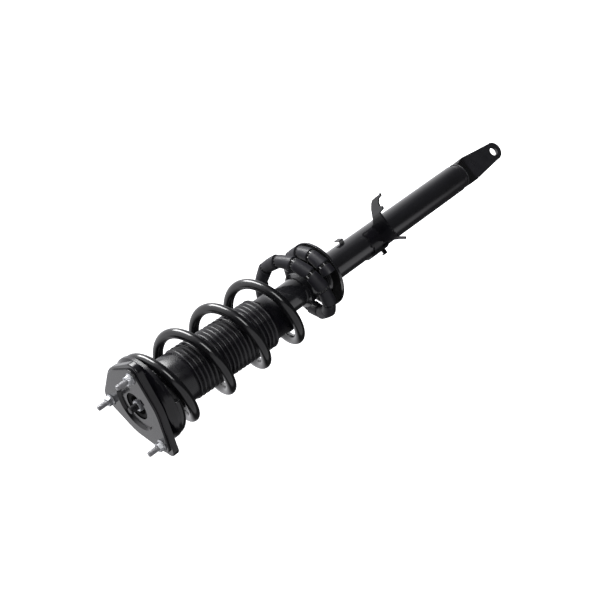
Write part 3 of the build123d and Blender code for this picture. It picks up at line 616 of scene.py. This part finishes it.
boot = Shell()
inner_line = list(reversed(boot_profile(boot_wall)[1:]))
flange_line = [(36.0, boot_top - flange_t), (flange_r, boot_top - flange_t), (flange_r, boot_top)]
boot.lathe(boot_profile(0) + inner_line + flange_line, boot_sides)
for point in boot.verts:
    point.x -= (boot_top * MM - point.z) * lean_slope
boot_piece = boot.object("ribbed_boot", BOOT, 50)
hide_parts("dust_boot")
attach(boot_piece, "top_mount")


def shorten(piece):
    """Gives the piece a mesh of its own; its shape stays as it is."""
    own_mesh(piece)


shorten(wire_piece)
shorten(sleeve_piece)
shorten(joint_piece)
shorten(boot_piece)

# ---------------------------------------------------------------- camera
camera_data = bpy.data.cameras.new("camera")
camera_data.sensor_width = 36.0
camera_data.lens = 65.89
camera = bpy.data.objects.new("camera", camera_data)
camera_place = (-0.0124, -1.3917, 1.2813)
camera_elevation = 30.16
camera_roll = -125.83
aim = Euler((radians(90 - camera_elevation), 0, 0)).to_matrix()
roll = Matrix.Rotation(radians(camera_roll), 3, "Z")
view = aim @ roll
camera.matrix_world = Matrix.Translation(camera_place) @ view.to_4x4()
bpy.context.scene.collection.objects.link(camera)
bpy.context.scene.camera = camera

# ---------------------------------------------------------------- floor, backdrop and light
white = bpy.data.materials.new("pale_floor")
white.use_nodes = True
white_nodes = white.node_tree.nodes
white_nodes["Principled BSDF"].inputs["Base Color"].default_value = (0.9, 0.9, 0.9, 1)
white_nodes["Principled BSDF"].inputs["Emission Color"].default_value = (1, 1, 1, 1)
white_nodes["Principled BSDF"].inputs["Emission Strength"].default_value = 1.0
floor_size = 40.0
floor_z = -0.35
corners = [(x * floor_size, y * floor_size, floor_z) for x, y in ((-1, -1), (1, -1), (1, 1), (-1, 1))]
floor_piece = make_object("floor", corners, [(0, 1, 2, 3)], white)
floor_piece.visible_glossy = False
floor_piece.visible_diffuse = False

world = bpy.data.worlds.new("studio")
world.use_nodes = True
bpy.context.scene.world = world
world_nodes, world_links = world.node_tree.nodes, world.node_tree.links
background = world_nodes["Background"]
light_path = world_nodes.new("ShaderNodeLightPath")
direction = world_nodes.new("ShaderNodeTexCoord")


def bright_side(heading, start, full, level):
    """A soft-edged bright patch of the surroundings, about a heading given in the camera's directions."""
    dot = world_nodes.new("ShaderNodeVectorMath")
    dot.operation = "DOT_PRODUCT"
    dot.inputs[1].default_value = view @ Vector(heading).normalized()
    world_links.new(direction.outputs["Generated"], dot.inputs[0])
    glow = world_nodes.new("ShaderNodeMapRange")
    glow.interpolation_type = "SMOOTHSTEP"
    for socket_name, value in (("From Min", start), ("From Max", full), ("To Min", 0.0), ("To Max", level)):
        glow.inputs[socket_name].default_value = value
    world_links.new(dot.outputs["Value"], glow.inputs["Value"])
    return glow.outputs["Result"]


def add(first, second):
    """A world node that adds two values; the second may be a plain number."""
    node = world_nodes.new("ShaderNodeMath")
    node.operation = "ADD"
    world_links.new(first, node.inputs[0])
    if isinstance(second, float):
        node.inputs[1].default_value = second
    else:
        world_links.new(second, node.inputs[1])
    return node.outputs[0]


room_level = 0.035
room_tint = (0.992, 0.99, 1.02)
table_side = bright_side((-0.85, 0.25, -0.45), 0.05, 0.80, 0.90)
panel_side = bright_side((0.52, -0.72, 0.46), 0.56, 0.66, 0.52)
upper_side = bright_side((-0.50, 0.76, 0.42), 0.55, 1.0, 0.60)
surroundings = add(add(add(table_side, panel_side), upper_side), room_level)
world_mix = world_nodes.new("ShaderNodeMix")
world_mix.data_type = "RGBA"
world_links.new(light_path.outputs["Is Camera Ray"], world_mix.inputs[0])
tinted = world_nodes.new("ShaderNodeVectorMath")
tinted.operation = "MULTIPLY"
tinted.inputs[1].default_value = room_tint
world_links.new(surroundings, tinted.inputs[0])
world_links.new(tinted.outputs["Vector"], world_mix.inputs[6])
world_mix.inputs[7].default_value = (1, 1, 1, 1)
world_links.new(world_mix.outputs[2], background.inputs["Color"])

strut_middle = (Vector(cad_box[0]) + Vector(cad_box[1])) / 2


def softbox(name, right, up, back, distance, size, power):
    """A soft light, placed from the middle of the strut along the camera's own directions."""
    data = bpy.data.lights.new(name, "AREA")
    data.shape = "RECTANGLE"
    data.size, data.size_y = size
    data.energy = power
    obj = bpy.data.objects.new(name, data)
    direction = (view @ Vector((right, up, back))).normalized()
    obj.location = strut_middle + direction * distance
    obj.rotation_mode = "QUATERNION"
    obj.rotation_quaternion = direction.to_track_quat("Z", "Y")
    bpy.context.scene.collection.objects.link(obj)


softbox("key", right=-0.60, up=0.85, back=0.10, distance=1.6, size=(1.4, 0.6), power=42)
softbox("front", right=0.1, up=0.35, back=0.9, distance=2.0, size=(1.0, 0.8), power=14)

bpy.context.scene.view_settings.view_transform = "Standard"
